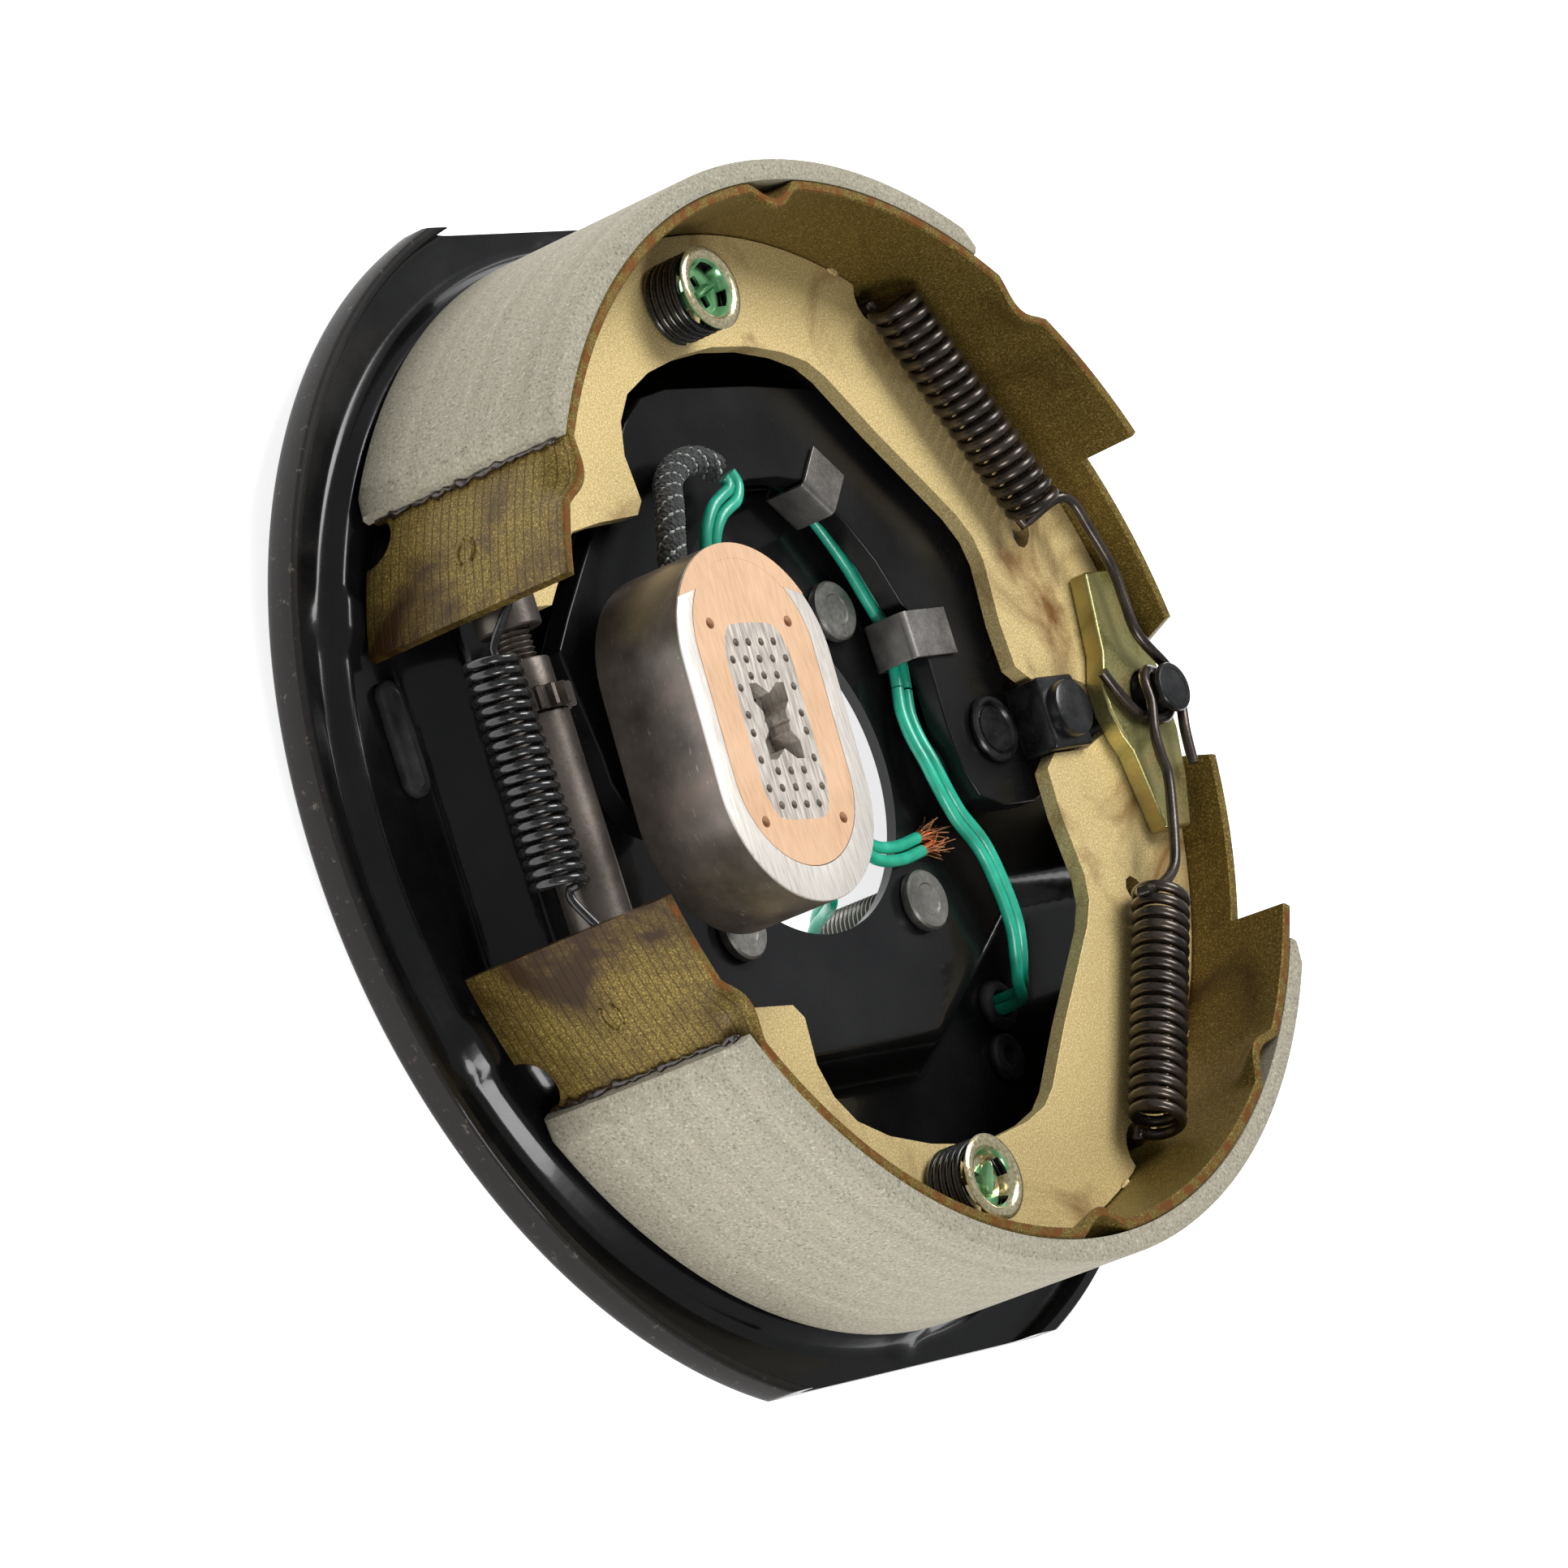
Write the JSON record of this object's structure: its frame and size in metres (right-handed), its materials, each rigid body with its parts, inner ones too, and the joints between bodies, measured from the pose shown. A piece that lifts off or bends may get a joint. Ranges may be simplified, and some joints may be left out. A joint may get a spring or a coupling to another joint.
{
  "type": "trailer drum brake assembly",
  "caption": "Electric trailer drum brake on its backing plate, with lined shoes, return springs, star-wheel adjuster, actuating lever and magnet.",
  "frame": {"origin": "on the axle axis, at the backing plate's back (mounting) face", "axes": "+Z towards the hub and drum, +Y towards the anchor post, +X towards the secondary shoe"},
  "size_m": [0.266, 0.2848, 0.075],
  "materials": {
    "black_paint": "gloss",
    "stud_steel": "satin",
    "black_steel": "satin",
    "yellow_zinc": "satin",
    "cup_zinc": "satin",
    "spring_steel": "satin",
    "clip_steel": "satin",
    "gold_coating": "satin",
    "friction_lining": "matte",
    "magnet_steel": "satin",
    "ground_steel": "brushed",
    "copper": "satin",
    "friction_face": "satin",
    "black_rubber": "matte",
    "teal_insulation": "gloss",
    "braid": "woven"
  },
  "bodies": {
    "backing": {"backing_plate": "black_paint", "mounting_stud_1": "stud_steel", "mounting_stud_2": "stud_steel", "mounting_stud_3": "stud_steel", "mounting_stud_4": "stud_steel", "anchor_post": "black_steel", "shoe_guide_plate": "yellow_zinc", "lever_pivot": "black_steel", "primary_hold_down_pin": "cup_zinc", "secondary_hold_down_pin": "cup_zinc", "primary_hold_down_spring": "spring_steel", "secondary_hold_down_spring": "spring_steel", "bridge_lead_1": "teal_insulation", "bridge_lead_2": "teal_insulation", "tail_lead_1": "teal_insulation", "tail_lead_2": "teal_insulation", "lead_grommet": "black_rubber", "adjusting_slot_plug": "black_rubber", "hole_plug": "black_rubber"},
    "lever": {"actuating_lever": "black_paint", "lower_wire_clip": "clip_steel", "upper_wire_clip": "clip_steel", "braided_sleeve": "braid", "lever_lead_1": "teal_insulation", "lever_lead_2": "teal_insulation", "magnet_stud": "black_steel", "magnet_clip": "spring_steel", "magnet_spring": "spring_steel"},
    "block": {"actuating_block": "black_steel"},
    "magnet": {"magnet_housing": "magnet_steel", "magnet_coil": "copper", "magnet_core": "ground_steel", "magnet_friction_face": "friction_face"},
    "secondary_shoe": {"secondary_shoe_table": "gold_coating", "secondary_shoe_web": "gold_coating", "secondary_lining": "friction_lining", "secondary_return_spring": "spring_steel", "adjuster_socket": "black_steel", "adjuster_spring": "spring_steel"},
    "adjuster_screw": {"adjuster_screw": "black_steel"},
    "adjuster_nut": {"adjuster_pivot_nut": "black_steel"},
    "primary_shoe": {"primary_shoe_table": "gold_coating", "primary_shoe_web": "gold_coating", "primary_lining": "friction_lining", "primary_return_spring": "spring_steel"},
    "primary_cup": {"primary_hold_down_cup": "cup_zinc"},
    "secondary_cup": {"secondary_hold_down_cup": "cup_zinc"}
  },
  "joints": [
    {"name": "lever_swing", "type": "hinge", "parent": "backing", "child": "lever", "pos_m": [0, 0.0635, 0.0125], "axis": [0, 0, 1], "range_deg": [0, 6], "stiffness_Nm_per_rad": 15, "springref_deg": -5.73, "deforming": ["bridge_lead_1", "bridge_lead_2"]},
    {"name": "block_pivot", "type": "hinge", "parent": "lever", "child": "block", "pos_m": [0, 0.079, 0.021], "axis": [0, 0, 1], "range_deg": [-6, 0]},
    {"name": "magnet_slide", "type": "slide", "parent": "lever", "child": "magnet", "axis": [0, 0, 1], "range_m": [-0.006, 0], "stiffness_N_per_m": 800, "springref_m": 0.012, "deforming": ["magnet_spring"]},
    {"name": "secondary_shoe_swing", "type": "hinge", "parent": "backing", "child": "secondary_shoe", "pos_m": [0, 0.1095, 0.021], "axis": [0, 0, 1], "range_deg": [0, 0.28], "deforming": ["secondary_return_spring"]},
    {"name": "adjuster_turn", "type": "hinge", "parent": "secondary_shoe", "child": "adjuster_screw", "pos_m": [0, -0.1024, 0.021], "axis": [1, 0, 0], "range_deg": [0, 360]},
    {"name": "adjuster_nut_slide", "type": "slide", "parent": "secondary_shoe", "child": "adjuster_nut", "axis": [-1, 0, 0], "range_m": [0, 0.00127], "deforming": ["adjuster_spring"]},
    {"name": "primary_shoe_swing", "type": "hinge", "parent": "adjuster_nut", "child": "primary_shoe", "pos_m": [-0.0397, -0.1024, 0.021], "axis": [0, 0, 1], "range_deg": [0, 0.63], "deforming": ["primary_return_spring"]},
    {"name": "primary_cup_press", "type": "slide", "parent": "backing", "child": "primary_cup", "axis": [0, 0, -1], "range_m": [0, 0.004], "stiffness_N_per_m": 4000, "springref_m": -0.003, "deforming": ["primary_hold_down_spring"]},
    {"name": "secondary_cup_press", "type": "slide", "parent": "backing", "child": "secondary_cup", "axis": [0, 0, -1], "range_m": [0, 0.004], "stiffness_N_per_m": 4000, "springref_m": -0.003, "deforming": ["secondary_hold_down_spring"]}
  ],
  "couplings": [
    {"joint": "block_pivot", "follows": "lever_swing", "ratio": -1},
    {"joint": "secondary_shoe_swing", "follows": "lever_swing", "ratio": 0.045},
    {"joint": "primary_shoe_swing", "follows": "lever_swing", "ratio": 0.1027},
    {"joint": "adjuster_turn", "follows": "adjuster_nut_slide", "rad_per_m": 4950}
  ]
}
